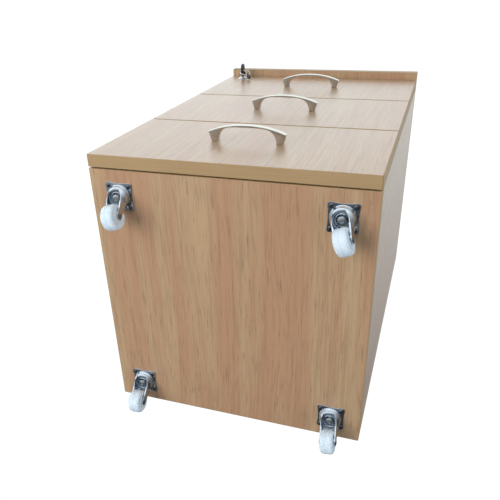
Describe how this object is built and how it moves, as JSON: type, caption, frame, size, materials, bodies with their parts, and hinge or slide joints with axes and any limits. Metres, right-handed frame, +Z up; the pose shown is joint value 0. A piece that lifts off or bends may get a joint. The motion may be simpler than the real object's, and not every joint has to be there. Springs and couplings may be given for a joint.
{
  "type": "mobile pedestal",
  "caption": "Lockable under-desk drawer pedestal on swivel castors, with arched handles, telescopic slides and a gang lock worked by a key",
  "frame": {"origin": "on the floor, midway across the width and midway between the tip of the key and the back of the carcass", "axes": "+Z up, the drawer fronts face -Y, +X to the right of someone facing the back from the front"},
  "size_m": [0.4, 0.45, 0.693],
  "materials": {
    "beech_board": "satin melamine with a light oak or beech print",
    "inner_board": "matt coated board",
    "zinc": "bright zinc plating",
    "slide_steel": "zinc plated",
    "nickel": "satin nickel",
    "chrome": "polished",
    "black_plastic": "matt",
    "nylon": "semi-gloss white"
  },
  "bodies": {
    "carcass": {"top_panel": "beech_board", "bottom_panel": "beech_board", "left_side": "beech_board", "right_side": "beech_board", "back_panel": "inner_board", "cam_bolts": "zinc", "cam_locks": "zinc", "cabinet_rails": "slide_steel", "castor_plates": "zinc", "castor_screws": "zinc", "castor_kingpins": "zinc", "castor_balls": "zinc"},
    "slides_bottom": {"middle_rails_bottom": "slide_steel"},
    "slides_middle": {"middle_rails_middle": "slide_steel"},
    "slides_top": {"middle_rails_top": "slide_steel"},
    "drawer_bottom": {"front_bottom": "beech_board", "box_left_bottom": "inner_board", "box_right_bottom": "inner_board", "box_back_bottom": "inner_board", "box_base_bottom": "inner_board", "drawer_rails_bottom": "slide_steel", "handle_bottom": "nickel", "handle_screws_bottom": "zinc", "lock_catch_bottom": "black_plastic"},
    "drawer_middle": {"front_middle": "beech_board", "box_left_middle": "inner_board", "box_right_middle": "inner_board", "box_back_middle": "inner_board", "box_base_middle": "inner_board", "drawer_rails_middle": "slide_steel", "handle_middle": "nickel", "handle_screws_middle": "zinc", "lock_catch_middle": "black_plastic"},
    "drawer_top": {"front_top": "beech_board", "box_left_top": "inner_board", "box_right_top": "inner_board", "box_back_top": "inner_board", "box_base_top": "inner_board", "drawer_rails_top": "slide_steel", "handle_top": "nickel", "handle_screws_top": "zinc", "lock_catch_top": "black_plastic", "lock_housing": "chrome", "key_ring": "chrome", "spare_key": "black_plastic"},
    "lock": {"lock_plug": "chrome", "key": "black_plastic"},
    "gang_bar": {"locking_bar": "zinc"},
    "swivel_front_left": {"fork_front_left": "zinc", "axle_front_left": "zinc"},
    "swivel_front_right": {"fork_front_right": "zinc", "axle_front_right": "zinc"},
    "swivel_back_left": {"fork_back_left": "zinc", "axle_back_left": "zinc"},
    "swivel_back_right": {"fork_back_right": "zinc", "axle_back_right": "zinc"},
    "roller_front_left": {"wheel_front_left": "nylon"},
    "roller_front_right": {"wheel_front_right": "nylon"},
    "roller_back_left": {"wheel_back_left": "nylon"},
    "roller_back_right": {"wheel_back_right": "nylon"}
  },
  "joints": [
    {"name": "drawer_bottom_slide", "type": "slide", "parent": "carcass", "child": "drawer_bottom", "axis": [0, -1, 0], "range_m": [0, 0.3]},
    {"name": "slides_bottom_slide", "type": "slide", "parent": "carcass", "child": "slides_bottom", "axis": [0, -1, 0], "range_m": [0, 0.15]},
    {"name": "drawer_middle_slide", "type": "slide", "parent": "carcass", "child": "drawer_middle", "axis": [0, -1, 0], "range_m": [0, 0.3]},
    {"name": "slides_middle_slide", "type": "slide", "parent": "carcass", "child": "slides_middle", "axis": [0, -1, 0], "range_m": [0, 0.15]},
    {"name": "drawer_top_slide", "type": "slide", "parent": "carcass", "child": "drawer_top", "axis": [0, -1, 0], "range_m": [0, 0.3]},
    {"name": "slides_top_slide", "type": "slide", "parent": "carcass", "child": "slides_top", "axis": [0, -1, 0], "range_m": [0, 0.15]},
    {"name": "key_turn", "type": "hinge", "parent": "drawer_top", "child": "lock", "pos_m": [-0.168, -0.195, 0.647], "axis": [0, -1, 0], "range_deg": [0, 90]},
    {"name": "bar_lift", "type": "slide", "parent": "carcass", "child": "gang_bar", "axis": [0, 0, 1], "range_m": [0, 0.00848]},
    {"name": "swivel_front_left", "type": "hinge", "parent": "carcass", "child": "swivel_front_left", "pos_m": [-0.156, -0.1375, 0.0462], "axis": [0, 0, 1], "continuous": true},
    {"name": "roll_front_left", "type": "hinge", "parent": "swivel_front_left", "child": "roller_front_left", "pos_m": [-0.15152, -0.11955, 0.018], "axis": [0.9703, -0.2419, 0], "continuous": true},
    {"name": "swivel_front_right", "type": "hinge", "parent": "carcass", "child": "swivel_front_right", "pos_m": [0.156, -0.1375, 0.0462], "axis": [0, 0, 1], "continuous": true},
    {"name": "roll_front_right", "type": "hinge", "parent": "swivel_front_right", "child": "roller_front_right", "pos_m": [0.16293, -0.12035, 0.018], "axis": [0.9272, -0.3746, 0], "continuous": true},
    {"name": "swivel_back_left", "type": "hinge", "parent": "carcass", "child": "swivel_back_left", "pos_m": [-0.156, 0.1875, 0.0462], "axis": [0, 0, 1], "continuous": true},
    {"name": "roll_back_left", "type": "hinge", "parent": "swivel_back_left", "child": "roller_back_left", "pos_m": [-0.15503, 0.20597, 0.018], "axis": [0.9986, -0.0523, 0], "continuous": true},
    {"name": "swivel_back_right", "type": "hinge", "parent": "carcass", "child": "swivel_back_right", "pos_m": [0.156, 0.1875, 0.0462], "axis": [0, 0, 1], "continuous": true},
    {"name": "roll_back_right", "type": "hinge", "parent": "swivel_back_right", "child": "roller_back_right", "pos_m": [0.15889, 0.20577, 0.018], "axis": [0.9877, -0.1564, 0], "continuous": true}
  ],
  "couplings": [
    {"joint": "slides_bottom_slide", "follows": "drawer_bottom_slide", "ratio": 0.5},
    {"joint": "slides_middle_slide", "follows": "drawer_middle_slide", "ratio": 0.5},
    {"joint": "slides_top_slide", "follows": "drawer_top_slide", "ratio": 0.5},
    {"joint": "key_turn", "follows": "bar_lift", "rad_per_m": 185.1}
  ]
}
